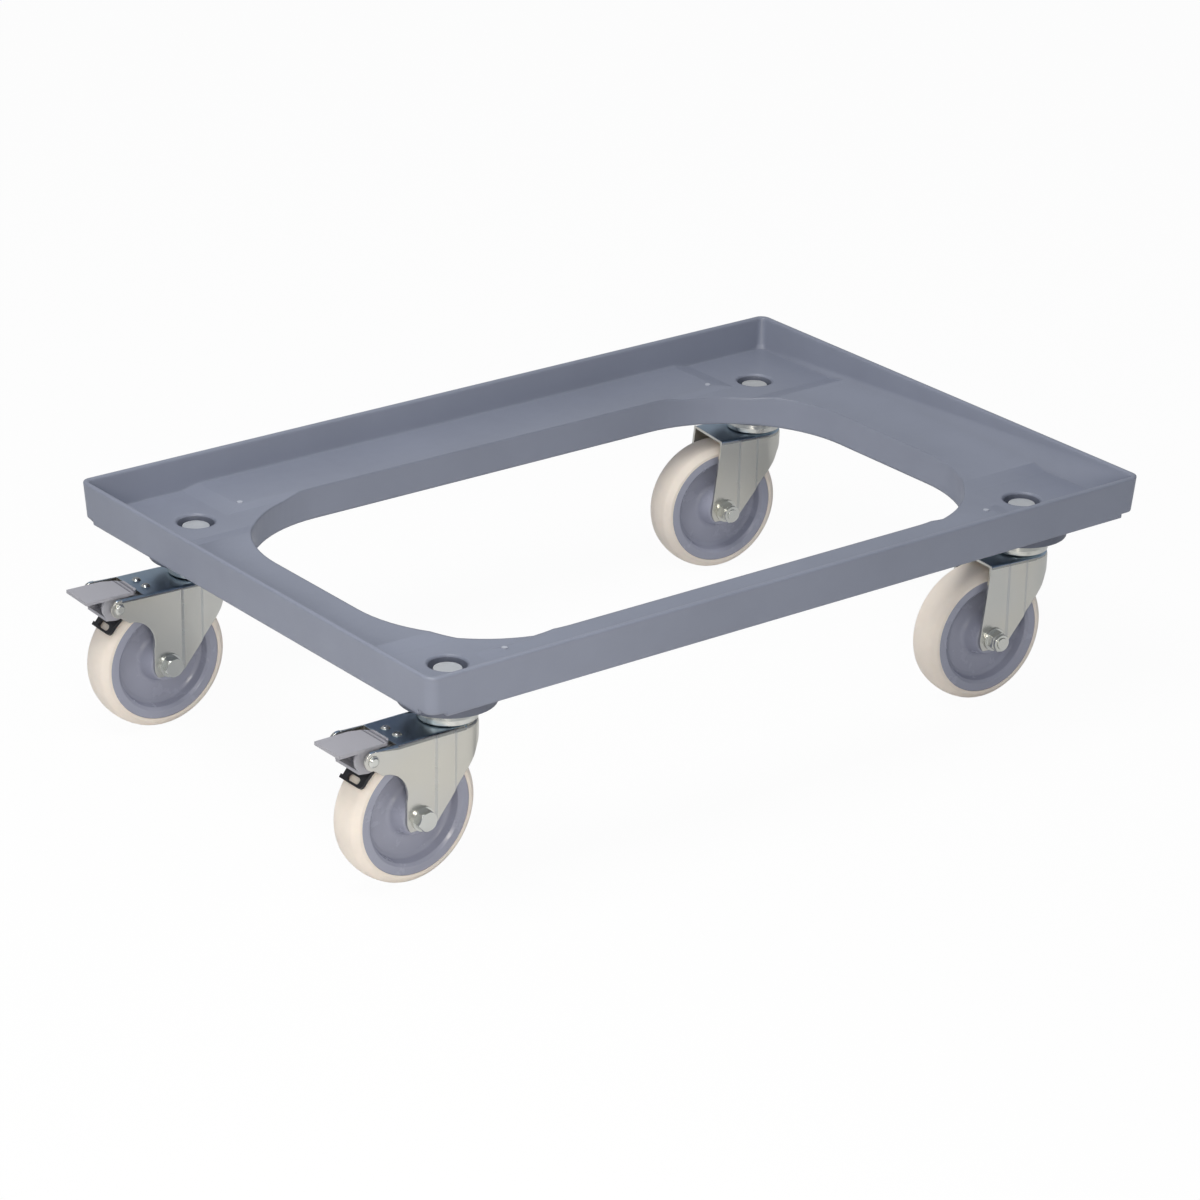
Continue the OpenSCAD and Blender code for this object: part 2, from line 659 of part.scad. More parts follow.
// the lower jaw: a scoop that starts in front of the pivot and ends behind it
module jaw_side() {
  translate([pivot_x, pivot_z]) rotate(jaw_slope) {
    translate([-1, -ear_r - jaw_t]) square([jaw_len, jaw_t]);
  }
  difference() {
    translate([pivot_x, pivot_z]) circle(r = ear_r + jaw_t);
    translate([pivot_x, pivot_z]) circle(r = ear_r - 0.3);
    translate([pivot_x - 30, pivot_z - 5]) square([60, 30]);
    translate([pivot_x, pivot_z - 30]) square([30, 40]);
  }
}
module pedal_shape() color([0.55, 0.55, 0.62]) difference() {
  y0 = pedal_side - pedal_half;
  y1 = pedal_side + pedal_half;
  union() {
    // pad with its front corners cut
    translate([0, 0, pad_z]) linear_extrude(height = pad_t) polygon([
      [pad_front, y0 + 7.6], [pad_front + 6, y0 + 3.1], [pad_front + 15, y0],
      [pad_back, y0], [pad_back, y1], [pad_front + 4, y1], [pad_front, y1 - 4]]);
    // two low bars near the pad's front edge
    translate([pad_front + 1, y0 + 8, pad_z + pad_t - 0.5]) cube([1.4, y1 - y0 - 12.5, 1.1]);
    translate([pad_front + 4.5, y0 + 6, pad_z + pad_t - 0.5]) cube([1.2, y1 - y0 - 8, 1]);
    side_view(y0 + 1, y0 + 1 + ear_t) ear_side();
    side_view(y1 - 1 - ear_t, y1 - 1) ear_side();
    side_view(y0 + 1, y1 - 1) jaw_side();
  }
  // keeps the jaw clear of the wheel's tread
  translate([trail, 0, axle_z]) rotate([90, 0, 0])
    cylinder(r = wheel_r + 2.2, h = 60, center = true);
}
// point at a given distance from the wheel's axle and angle above its level, seen from the side
function around(r, a) = [trail + r * cos(a), axle_z + r * sin(a)];
// black tab with a slot, close behind the tread, its root under the jaw
module tab_shape() {
  r0 = wheel_r + tab_gap;
  r1 = r0 + tab_t;
  slot_a = tab_a0 + 4.2;
  color([0.08, 0.08, 0.1]) difference() {
    union() {
      side_view(tab_side - tab_half, tab_side + tab_half) polygon([
        around(r0, tab_a0), around(r0, (tab_a0 + tab_a1) / 2), around(r0, tab_a1),
        around(r1, tab_a1), around(r1, (tab_a0 + tab_a1) / 2), around(r1, tab_a0)]);
      side_view(tab_side - tab_half - 2, tab_side) polygon([
        around(r0, tab_a0), around(r0, tab_a0 + 3), around(r1, tab_a0 + 3), around(r1, tab_a0)]);
      side_view(tab_side - tab_half + 1, tab_side + tab_half - 1) polygon([
        around(r0, tab_a1 - 3), around(r0, tab_a1 + 5), around(r0 + 4.5, tab_a1 + 5),
        around(r0 + 4.5, tab_a1 + 2), around(r1, tab_a1 - 2)]);
    }
    translate([trail, tab_side, axle_z]) rotate([0, -slot_a, 0]) translate([wheel_r, 0, 0])
      hull() for (s = [-1, 1])
        translate([0, s * (tab_half - tab_edge - slot_r), 0]) rotate([0, 90, 0])
          cylinder(r = slot_r, h = 20, center = true);
    // rounded lower corner
    translate([trail, tab_side + tab_half - tab_round, axle_z]) rotate([0, -tab_a0, 0]) difference() {
      translate([r0 - 2, 0, -1]) cube([tab_t + 6, tab_round + 1, tab_round + 1]);
      translate([r0 - 3, 0, tab_round]) rotate([0, 90, 0]) cylinder(r = tab_round, h = tab_t + 8);
    }
    // the root ends at the jaw
    translate([pivot_x, 0, pivot_z]) rotate([90, 0, 0])
      cylinder(r = ear_r + jaw_t + 0.02, h = 60, center = true);
  }
}
module pivot_rivet_shape() color([0.75, 0.76, 0.78])
  translate([pivot_x, 0, pivot_z]) rotate([90, 0, 0]) {
    cylinder(r = pivot_r, h = 2 * fork_half + 0.5, center = true);
    for (s = [0, 180])
      rotate([s, 0, 0]) translate([0, 0, fork_half]) {
        cylinder(r = pivot_head_r, h = 0.7);
        translate([0, 0, 0.7]) cylinder(r1 = pivot_head_r - 0.5, r2 = pivot_r, h = pivot_head_h - 0.7);
      }
  }
// spring blade under the fork's top, its free end bent down to the tread
module blade_shape() color([0.6, 0.6, 0.62]) difference() {
  side_view(-blade_half, blade_half) polygon([
    [31, fork_under - blade_t], [50, fork_under - blade_t], [60.8, fork_under - 6.4],
    [61.8, fork_under - 5.4], [50.8, fork_under], [31, fork_under]]);
  for (s = [-1, 1])
    translate([blade_rivet_x, s * blade_rivet_y, fork_under - 5]) cylinder(r = 1.82, h = 8);
}
module blade_rivets_shape() color([0.78, 0.79, 0.8])
  for (s = [-1, 1])
    translate([blade_rivet_x, s * blade_rivet_y, 0]) {
      translate([0, 0, fork_under - blade_t - 0.5]) cylinder(r = 1.8, h = fork_t + blade_t + 1);
      translate([0, 0, fork_top]) cylinder(r1 = blade_rivet_r, r2 = 2, h = 1.6);
      translate([0, 0, fork_under - blade_t - 0.9]) cylinder(r = blade_rivet_r - 0.4, h = 0.9);
    }

on_deck() deck_frame();
on_deck() mount_bolts();
on_deck() mount_washers();
on_deck() mount_nuts();
at_fl() cup_shape();  // swivel_cup_front_left
at_fl() king_shape();  // king_rivet_front_left
at_fl() ball_shape();  // ball_ring_front_left
at_fl() brake_fork();  // fork_front_left
at_fl() wheel_shape();  // wheel_front_left
at_fl() tread_shape();  // tread_front_left
at_fl() bush_shape();  // bush_front_left
at_fl() axle_bolt_shape(1);  // axle_bolt_front_left
at_fl() axle_nut_shape(1);  // axle_nut_front_left
at_fr() cup_shape();  // swivel_cup_front_right
at_fr() king_shape();  // king_rivet_front_right
at_fr() ball_shape();  // ball_ring_front_right
at_fr() plain_fork();  // fork_front_right
at_fr() wheel_shape();  // wheel_front_right
at_fr() tread_shape();  // tread_front_right
at_fr() bush_shape();  // bush_front_right
at_fr() axle_bolt_shape(-1);  // axle_bolt_front_right
at_fr() axle_nut_shape(-1);  // axle_nut_front_right
at_rl() cup_shape();  // swivel_cup_rear_left
at_rl() king_shape();  // king_rivet_rear_left
at_rl() ball_shape();  // ball_ring_rear_left
at_rl() brake_fork();  // fork_rear_left
at_rl() wheel_shape();  // wheel_rear_left
at_rl() tread_shape();  // tread_rear_left
at_rl() bush_shape();  // bush_rear_left
at_rl() axle_bolt_shape(1);  // axle_bolt_rear_left
at_rl() axle_nut_shape(1);  // axle_nut_rear_left
at_rr() cup_shape();  // swivel_cup_rear_right
at_rr() king_shape();  // king_rivet_rear_right
at_rr() ball_shape();  // ball_ring_rear_right
at_rr() plain_fork();  // fork_rear_right
at_rr() wheel_shape();  // wheel_rear_right
at_rr() tread_shape();  // tread_rear_right
at_rr() bush_shape();  // bush_rear_right
at_rr() axle_bolt_shape(-1);  // axle_bolt_rear_right
at_rr() axle_nut_shape(-1);  // axle_nut_rear_right
at_fl() pedal_shape();  // pedal_front_left
at_fl() tab_shape();  // release_tab_front_left
at_fl() pivot_rivet_shape();  // pivot_rivet_front_left
at_fl() blade_shape();  // brake_blade_front_left
at_fl() blade_rivets_shape();  // blade_rivets_front_left
at_rl() pedal_shape();  // pedal_rear_left
at_rl() tab_shape();  // release_tab_rear_left
at_rl() pivot_rivet_shape();  // pivot_rivet_rear_left
at_rl() blade_shape();  // brake_blade_rear_left
at_rl() blade_rivets_shape();  // blade_rivets_rear_left
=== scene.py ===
import bpy
import bmesh
import math
from mathutils import Matrix, Vector

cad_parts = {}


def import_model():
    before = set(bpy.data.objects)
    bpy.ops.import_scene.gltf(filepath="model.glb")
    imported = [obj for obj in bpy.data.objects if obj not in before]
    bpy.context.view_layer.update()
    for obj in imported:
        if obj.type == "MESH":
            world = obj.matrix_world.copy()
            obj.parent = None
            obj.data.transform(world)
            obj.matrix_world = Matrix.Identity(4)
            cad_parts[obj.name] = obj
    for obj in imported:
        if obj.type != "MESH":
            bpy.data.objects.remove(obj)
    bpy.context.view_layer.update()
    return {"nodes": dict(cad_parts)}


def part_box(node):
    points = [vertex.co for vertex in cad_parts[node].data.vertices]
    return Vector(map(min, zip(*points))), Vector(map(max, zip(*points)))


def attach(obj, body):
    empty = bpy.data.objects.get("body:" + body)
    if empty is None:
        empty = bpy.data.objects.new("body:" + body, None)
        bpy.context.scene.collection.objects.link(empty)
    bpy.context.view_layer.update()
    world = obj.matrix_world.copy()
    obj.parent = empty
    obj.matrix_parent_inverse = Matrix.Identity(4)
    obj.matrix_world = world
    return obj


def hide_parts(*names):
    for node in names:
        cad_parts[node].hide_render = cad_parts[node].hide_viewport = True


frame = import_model()
NODES = frame["nodes"]
scene = bpy.context.scene
MM = 0.001

# Deck in millimetres, as the CAD has it: outer sizes, heights above the floor, the bosses' radius and
# the four pips' place from the deck's middle
DECK_L = 615.0
DECK_W = 415.0
RIM_TOP = 167.0
DECK_Z = 145.5
WALL_Z = 137.5
BOSS_R = 33.0
PIP_X = 210.0
PIP_Y = 154.5
PIP_R = 2.0
MID_X = round((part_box("deck_frame")[0].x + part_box("deck_frame")[1].x) / 2 / MM, 3)

# Casters: place of the swivel axes from the deck's middle, headings in degrees, place of the axle
SEAT_X = 250.5
SEAT_Y = 148.0
YAW = {"front_left": 180.4, "front_right": 174.9, "rear_left": 177.6, "rear_right": 171.7}
SIDE = {"front_left": (-1, -1), "front_right": (1, -1), "rear_left": (-1, 1), "rear_right": (1, 1)}
BRAKES = ("front_left", "rear_left")
TRAIL = 34.0
AXLE_Z = 50.0

# Fork: top and outer half width of the folded sheet, top and radius of its raised seat, where the
# round front of its top ends and how far it reaches back
FORK_TOP = 106.4
FORK_HALF = 20.5
SEAT_TOP = 109.4
SEAT_R = 16.5
FRONT_END = 22.0
BRAKE_BACK = 53.0
PLAIN_BACK = 39.5
# pressed creases of its side plates, from and to, the top of the painted shade in them, and the
# panel's rise between them
CREASES = ((7.0, 9.0), (22.5, 24.5))
CREASE_PAINTED_SHADE_TOP = 103.0
PROUD = 0.9

# Pedal: top of the pad, and the grooves beside its two bars, from and to, where painted shade darkens
# the pad's top
PAD_TOP = 108.9
GROOVES = ((57.4, 59.5), (60.7, 61.9))

# Wheel: the tread's half width and inner radius, then the middle's radius and the radius of the two
# arcs of its section, crown and shoulder
TREAD_HALF = 13.4
TREAD_SEAT_R = 42.34
CROWN = (16.0, 34.0)
SHOULDER = (36.5, 15.5)

# Camera fitted to the photograph: a pinhole over a square picture, lengths in its pixels
PICTURE = 1200.0
FOCAL = 4322.0
AIM_PX = (614.6, 478.0)
# where it stands as seen from the deck's middle, in degrees and metres
CAM_AZIMUTH = -38.488
CAM_ELEVATION = 21.328
CAM_ROLL = 1.417
CAM_DISTANCE = 3.011
AIM_HEIGHT = 0.1667
SENSOR_MM = 36.0


def caster_matrix(k):
    """Places a piece drawn in a caster's own frame (x to the axle, z from the floor, mm)."""
    sx, sy = SIDE[k]
    return (Matrix.Scale(MM, 4) @ Matrix.Translation((MID_X + sx * SEAT_X, sy * SEAT_Y, 0))
            @ Matrix.Rotation(math.radians(YAW[k]), 4, "Z"))


def on_axle(k):
    """Places a piece turned around z on a caster's axle."""
    axle = Matrix.Translation((TRAIL, 0, AXLE_Z)) @ Matrix.Rotation(math.radians(-90), 4, "X")
    return caster_matrix(k) @ axle


# Camera
def make_camera():
    az, el = math.radians(CAM_AZIMUTH), math.radians(CAM_ELEVATION)
    back = Vector((math.sin(az) * math.cos(el), -math.cos(az) * math.cos(el), math.sin(el)))
    right = Vector((math.cos(az), math.sin(az), 0.0))
    ahead = -back
    level = Matrix((right, ahead.cross(right), ahead))
    aim = Vector([(p - PICTURE / 2) / FOCAL for p in AIM_PX] + [1.0]).normalized()
    turn = Vector((0, 0, 1)).rotation_difference(aim).to_matrix()
    axes = turn @ (Matrix.Rotation(math.radians(CAM_ROLL), 3, "Z") @ level)
    place = back * CAM_DISTANCE + Vector((MID_X * MM, 0, AIM_HEIGHT))
    cam = bpy.data.cameras.new("camera")
    cam.sensor_width = SENSOR_MM
    cam.sensor_fit = "HORIZONTAL"
    cam.lens = FOCAL / PICTURE * SENSOR_MM
    cam.clip_start = 0.05
    cam.clip_end = 40
    ob = bpy.data.objects.new("camera", cam)
    turned = Matrix((axes[0], -axes[1], -axes[2])).transposed().to_4x4()
    ob.matrix_world = Matrix.Translation(place) @ turned
    scene.collection.objects.link(ob)
    scene.camera = ob


# Shader nodes
def node(nt, kind, **values):
    """A new shader node with input values; an underscore in a name stands for a space."""
    n = nt.nodes.new("ShaderNode" + kind)
    for name, value in values.items():
        n.inputs[name.replace("_", " ")].default_value = value
    return n


def camera_mix(nt, share, unseen, seen, out):
    """What the camera sees directly differs from what lights the object, by the given share."""
    lp = node(nt, "LightPath")
    mul = node(nt, "Math")
    mul.operation = "MULTIPLY"
    mul.inputs[1].default_value = share
    mix = node(nt, "MixShader")
    nt.links.new(lp.outputs["Is Camera Ray"], mul.inputs[0])
    nt.links.new(mul.outputs[0], mix.inputs[0])
    nt.links.new(unseen.outputs[0], mix.inputs[1])
    nt.links.new(seen.outputs[0], mix.inputs[2])
    nt.links.new(mix.outputs[0], out.inputs[0])


def coords(nt, scale=(1, 1, 1)):
    mapping = node(nt, "Mapping", Scale=scale)
    nt.links.new(node(nt, "TexCoord").outputs["Object"], mapping.inputs[0])
    return mapping.outputs[0]


def noise(nt, vec, scale, detail=2.0, rough=0.5):
    n = node(nt, "TexNoise", Scale=scale, Detail=detail, Roughness=rough)
    nt.links.new(vec, n.inputs["Vector"])
    return n.outputs["Fac"]


def spread(nt, fac, lo, hi, a=0.3, b=0.7):
    """Maps a to b onto lo to hi."""
    r = node(nt, "MapRange", From_Min=a, From_Max=b, To_Min=lo, To_Max=hi)
    nt.links.new(fac, r.inputs["Value"])
    return r.outputs["Result"]


def ramp(nt, fac, stops):
    """Colours at places between 0 and 1, blended between them."""
    r = node(nt, "ValToRGB")
    e = r.color_ramp.elements
    while len(e) < len(stops):
        e.new(0.5)
    for el, (place, colour) in zip(e, stops):
        el.position = place
        el.color = (*colour, 1)
    nt.links.new(fac, r.inputs[0])
    return r.outputs[0]


def bump(nt, b, height, strength, distance, after=None):
    """Bump on the shader b, on top of the normal that comes before it."""
    n = node(nt, "Bump", Strength=strength, Distance=distance)
    nt.links.new(height, n.inputs["Height"])
    if after is not None:
        nt.links.new(after, n.inputs["Normal"])
    nt.links.new(n.outputs[0], b.inputs["Normal"])
    return n.outputs[0]


def tint(colour, *factors):
    return tuple(min(1.0, c * f) for c, f in zip(colour, factors))


# Light, world and floor
def area(name, loc, aim, size, power, colour=(1, 1, 1)):
    """A square light: place, aim and side length in metres, power in watts."""
    d = bpy.data.lights.new(name, "AREA")
    d.energy = power
    d.color = colour
    d.size = size
    ob = bpy.data.objects.new(name, d)
    ob.location = loc
    ob.rotation_euler = (Vector(aim) - Vector(loc)).to_track_quat("-Z", "Y").to_euler()
    scene.collection.objects.link(ob)


def light():
    middle = (0, 0, 0.1)
    left_of_middle = (-0.1, 0, 0.1)
    near_wheel = (-0.27, -0.17, 0.05)
    area("side", (-1.6, -0.5, 0.9), middle, size=0.8, power=2.7, colour=(1.0, 0.96, 0.91))
    area("key", (-1.2, -1.25, 1.05), middle, size=0.3, power=2.2, colour=(1.0, 0.99, 0.97))
    area("top", (-0.6, -0.1, 1.6), left_of_middle, size=0.8, power=13.2, colour=(1.0, 0.98, 0.95))
    area("low", (-0.66, -0.86, 0.40), near_wheel, size=0.12, power=1.7, colour=(1.0, 0.93, 0.83))
    area("edge", (1.5, -0.95, 1.9), middle, size=0.3, power=0.8)


def world():
    """Plain cool ambient light, white where the camera sees it."""
    w = bpy.data.worlds.new("studio")
    scene.world = w
    w.use_nodes = True
    nt = w.node_tree
    nt.nodes.clear()
    camera_mix(nt, 1.0, node(nt, "Background", Color=(0.92, 0.95, 1.0, 1), Strength=0.37),
               node(nt, "Background", Color=(1, 1, 1, 1), Strength=1.0), node(nt, "OutputWorld"))
    scene.view_settings.view_transform = "Standard"


def floor(reach=6.0, drop=0.0004):
    """White ground: a light grey floor for the object, almost evenly white for the camera."""
    me = bpy.data.meshes.new("floor")
    corners = [(-reach, -reach, 0), (reach, -reach, 0), (reach, reach, 0), (-reach, reach, 0)]
    me.from_pydata(corners, [], [(0, 1, 2, 3)])
    ob = bpy.data.objects.new("floor", me)
    ob.location.z = -drop
    scene.collection.objects.link(ob)
    m = bpy.data.materials.new("floor")
    m.use_nodes = True
    nt = m.node_tree
    nt.nodes.clear()
    camera_mix(nt, 0.96, node(nt, "BsdfDiffuse", Color=(0.86, 0.86, 0.86, 1)),
               node(nt, "Emission", Color=(1, 1, 1, 1), Strength=1.0), node(nt, "OutputMaterial"))
    me.materials.append(m)


make_camera()
light()
world()
floor()


# Materials
def principled(name, colour, rough, metal=0.0, spec=0.5):
    """A new material, with its node tree and its main shader."""
    m = bpy.data.materials.new(name)
    m.use_nodes = True
    nt = m.node_tree
    b = nt.nodes["Principled BSDF"]
    b.inputs["Base Color"].default_value = (*colour, 1)
    b.inputs["Roughness"].default_value = rough
    b.inputs["Metallic"].default_value = metal
    b.inputs["Specular IOR Level"].default_value = spec
    return m, nt, b


def plastic(name, colour, rough, vary=0.05, grain=2600, edge=0.0):
    """Moulded plastic: faint clouds, a fine grain, uneven gloss; edge is a shaded rounding in mm."""
    m, nt, b = principled(name, colour, rough)
    v = coords(nt)
    clouds = noise(nt, v, scale=9, detail=4, rough=0.6)
    darker, lighter = tint(colour, *[1 - vary] * 3), tint(colour, *[1 + vary] * 3)
    nt.links.new(ramp(nt, clouds, [(0.3, darker), (0.7, lighter)]), b.inputs["Base Color"])
    gloss = noise(nt, v, scale=60, detail=5, rough=0.65)
    nt.links.new(spread(nt, gloss, rough - 0.05, rough + 0.07), b.inputs["Roughness"])
    base = None
    if edge:
        soft = node(nt, "Bevel", Radius=edge * MM)
        soft.samples = 8
        base = soft.outputs[0]
    waves = noise(nt, v, scale=34, detail=2, rough=0.5)
    first = bump(nt, b, waves, strength=0.06, distance=0.0006, after=base)
    fine = noise(nt, v, scale=grain, detail=3, rough=0.6)
    bump(nt, b, fine, strength=0.35, distance=0.00004, after=first)
    return m


def zinc(name, colour, rough, dimple=0.0, dimple_scale=700):
    """Zinc-plated steel: faint cool and warm clouds, rolling marks, a soft gloss and any dimples."""
    m, nt, b = principled(name, colour, rough, metal=1.0)
    v = coords(nt)
    clouds = noise(nt, v, scale=18, detail=1, rough=0.5)
    cool, warm = tint(colour, 0.97, 0.985, 1.0), tint(colour, 1.02, 1.01, 0.98)
    nt.links.new(ramp(nt, clouds, [(0.36, cool), (0.5, colour), (0.64, warm)]), b.inputs["Base Color"])
    gloss = noise(nt, v, scale=60, detail=2, rough=0.5)
    nt.links.new(spread(nt, gloss, rough - 0.015, rough + 0.02), b.inputs["Roughness"])
    rolled = noise(nt, coords(nt, scale=(1, 1, 8)), scale=30, detail=1, rough=0.5)
    first = bump(nt, b, rolled, strength=0.008, distance=0.00006)
    if dimple:
        dimples = noise(nt, v, scale=dimple_scale, detail=2, rough=0.5)
        bump(nt, b, dimples, strength=dimple, distance=0.0004, after=first)
    return m


def rubber(name, colour, rough=0.52):
    """Cream tread: faint dust toward grey, soft gloss and a slightly uneven surface."""
    m, nt, b = principled(name, colour, rough, spec=0.45)
    v = coords(nt)
    dust = noise(nt, v, scale=38, detail=5, rough=0.62)
    dusty = tint(colour, 0.93, 0.93, 0.94)
    nt.links.new(ramp(nt, dust, [(0.3, dusty), (0.62, colour)]), b.inputs["Base Color"])
    gloss = noise(nt, v, scale=180, detail=4, rough=0.6)
    nt.links.new(spread(nt, gloss, rough - 0.08, rough + 0.10), b.inputs["Roughness"])
    b.inputs["Subsurface Weight"].default_value = 0.06
    b.inputs["Subsurface Radius"].default_value = (0.004, 0.0025, 0.0015)
    uneven = noise(nt, v, scale=900, detail=3, rough=0.55)
    bump(nt, b, uneven, strength=0.15, distance=0.00006)
    return m


DECK = plastic("deck_plastic", (0.262, 0.286, 0.361), 0.34, edge=2.6)
# painted shade: a darker plastic for the bosses under the walls
BOSS_PAINTED_SHADE = plastic("deck_boss_painted_shade", (0.15, 0.165, 0.215), 0.42, edge=1.5)
# painted highlight: a lighter plastic for the pips
PIP_PAINTED_HIGHLIGHT = plastic("deck_pip_painted_highlight", (0.50, 0.53, 0.60), 0.34)
WHEEL = plastic("wheel_plastic", (0.37, 0.385, 0.475), 0.24, 0.04, 3200)
PEDAL = plastic("pedal_plastic", (0.41, 0.41, 0.45), 0.38, 0.04, 3200)
# painted shade: a dark plastic for the pad's grooves
PEDAL_GROOVE_PAINTED_SHADE = plastic("pedal_groove_painted_shade", (0.19, 0.19, 0.22), 0.5, 0.04, 3200)
BLACK = plastic("black_plastic", (0.012, 0.012, 0.016), 0.36, 0.05, 3000)
TREAD = rubber("tread_rubber", (0.97, 0.88, 0.78))
ZINC = zinc("zinc_sheet", (0.66, 0.655, 0.615), 0.24)
# painted shade: a darker zinc for the crease strips
ZINC_CREASE_PAINTED_SHADE = zinc("zinc_crease_painted_shade", (0.56, 0.57, 0.56), 0.28)
# painted reflection: a bluish zinc for the fork's top, standing in for the deck's underside mirrored
# in it
ZINC_TOP_PAINTED_REFLECTION = zinc("zinc_sheet_top_painted_reflection", (0.50, 0.63, 0.76), 0.30)
BOLT = zinc("zinc_bolt", (0.70, 0.71, 0.68), 0.24)
HEAD = zinc("zinc_head", (0.74, 0.75, 0.72), 0.26, 0.12, 260)
RECESSED = zinc("zinc_pebbled", (0.97, 0.985, 1.0), 0.50, 0.9, 330)
STEEL = zinc("steel", (0.46, 0.46, 0.47), 0.34)


# Meshes
def rounded(points, step, share=0.48):
    """Outline through (x, y) or (x, y, radius) points, with an arc at each corner that has a radius.

    An arc has a point about every step degrees and takes at most the given share of each side.
    """
    out = []
    n = len(points)
    for i, p in enumerate(points):
        c = Vector(p[:2])
        r = p[2] if len(p) > 2 else 0.0
        a = Vector(points[i - 1][:2]) - c
        b = Vector(points[(i + 1) % n][:2]) - c
        if r <= 0:
            out.append(c)
            continue
        half = a.angle(b) / 2
        d = min(r / math.tan(half), share * a.length, share * b.length)
        r = d * math.tan(half)
        mid = c + (a.normalized() + b.normalized()).normalized() * (r / math.sin(half))
        s, e = c + a.normalized() * d - mid, c + b.normalized() * d - mid
        a0, a1 = math.atan2(s.y, s.x), math.atan2(e.y, e.x)
        da = (a1 - a0 + math.pi) % (2 * math.pi) - math.pi
        k = max(2, int(abs(da) / math.radians(step)) + 1)
        for j in range(k + 1):
            t = a0 + da * j / k
            out.append(mid + Vector((math.cos(t), math.sin(t))) * r)
    return out


def lathe(bm, profile, seg, wave=None):
    """Turns a closed outline of (radius, height) points around z; wave adds to a radius."""
    rings = []
    for i in range(seg):
        a = 2 * math.pi * i / seg
        ring = []
        for r, h in profile:
            rr = r + (wave(a, r, h) if wave else 0.0)
            ring.append(bm.verts.new((rr * math.cos(a), rr * math.sin(a), h)))
        rings.append(ring)
    n = len(profile)
    for i in range(seg):
        u, v = rings[i], rings[(i + 1) % seg]
        for j in range(n):
            k = (j + 1) % n
            bm.faces.new((u[j], v[j], v[k], u[k]))


def cad_copy(name):
    """A copy of a CAD node's mesh with its flat faces made whole again, in metres."""
    bm = bmesh.new()
    bm.from_mesh(NODES[name].data)
    bmesh.ops.remove_doubles(bm, verts=bm.verts, dist=2e-6)
    bmesh.ops.dissolve_limit(bm, angle_limit=math.radians(0.35), verts=bm.verts, edges=bm.edges)
    return bm


def caster_copy(k, name, cuts):
    """A copy of a caster's CAD node in the caster's own frame, with edges cut in at each x."""
    bm = cad_copy(name + "_" + k)
    bm.transform(caster_matrix(k).inverted())
    for u in cuts:
        bmesh.ops.bisect_plane(bm, geom=bm.verts[:] + bm.edges[:] + bm.faces[:], dist=1e-4,
                               plane_co=(u, 0, 0), plane_no=(1, 0, 0))
    return bm


def within(value, bands):
    return any(low < value < high for low, high in bands)


def ends_of(bands):
    return [end for band in bands for end in band]


def finish_mesh(name, bm, matrix, mats, body, nodes, angle=38.0):
    """Turns a bmesh into a piece that rides on its body in place of the named CAD nodes."""
    bm.transform(matrix)
    bmesh.ops.recalc_face_normals(bm, faces=bm.faces)
    me = bpy.data.meshes.new(name)
    bm.to_mesh(me)
    bm.free()
    me.shade_smooth()
    me.set_sharp_from_angle(angle=math.radians(angle))
    for m in mats:
        me.materials.append(m)
    ob = bpy.data.objects.new(name, me)
    scene.collection.objects.link(ob)
    ob.modifiers.new("normals", "WEIGHTED_NORMAL").keep_sharp = True
    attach(ob, body)
    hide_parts(*nodes)
    return ob


def soften(ob, width_mm, segments=2, weight=False):
    """Rounds a piece's edges, by angle or by their bevel weight; the bevel goes before the normals."""
    b = ob.modifiers.new("edges", "BEVEL")
    b.width = width_mm * MM
    b.segments = segments
    b.limit_method = "WEIGHT" if weight else "ANGLE"
    b.angle_limit = math.radians(34)
    b.use_clamp_overlap = not weight
    b.harden_normals = False
    b.miter_outer = "MITER_ARC"
    ob.modifiers.move(len(ob.modifiers) - 1, 0)


def weigh(bm, rule, least=30.0):
    """Gives each edge sharper than least the bevel weight that rule(middle, direction) says."""
    layer = bm.edges.layers.float.new("bevel_weight_edge")
    for e in bm.edges:
        if len(e.link_faces) == 2 and math.degrees(e.calc_face_angle(0)) >= least:
            p, q = e.verts[0].co, e.verts[1].co
            e[layer] = rule((p + q) / 2, (q - p).normalized())


# Deck: rounded rim and lower wall edges, painted shade on the bosses below the walls, painted
# highlight on the pips
def from_corners(c, x, y):
    """Distance in millimetres, seen from above, to the nearest of the four points at x and y."""
    return math.hypot(abs(c.x / MM - MID_X) - x, abs(c.y / MM) - y)


def build_deck():
    """The whole moulding in one piece, with its edges weighed and its faces given their materials."""
    bm = cad_copy("deck_frame")
    rim_band = (RIM_TOP - 0.6) * MM
    low_band = (DECK_Z - 3) * MM
    pip_band = ((DECK_Z + 0.05) * MM, (DECK_Z + 1.2) * MM)

    def rule(c, d):
        """Full rounding at the rim, half of it along the outer wall's low edges."""
        if c.z > rim_band:
            return 1.0
        out = max(abs(c.x - MID_X * MM) / (DECK_L / 2 * MM), abs(c.y) / (DECK_W / 2 * MM))
        lying = abs(d.z) < 0.2
        return 0.5 if out > 0.955 and lying and c.z < low_band else 0.0
    weigh(bm, rule)
    for f in bm.faces:
        c = f.calc_center_median()
        # painted shade: the boss faces below the walls get the darker plastic
        if c.z < WALL_Z * MM and from_corners(c, SEAT_X, SEAT_Y) < BOSS_R + 1:
            f.material_index = 1
        # painted highlight: the pips' top faces get the lighter plastic
        elif within(c.z, (pip_band,)) and from_corners(c, PIP_X, PIP_Y) < PIP_R + 0.5:
            f.material_index = 2
    ob = finish_mesh("deck_moulding", bm, Matrix(), [DECK, BOSS_PAINTED_SHADE, PIP_PAINTED_HIGHLIGHT], "deck",
                     ["deck_frame"], angle=12)
    soften(ob, width_mm=1.3, segments=3, weight=True)


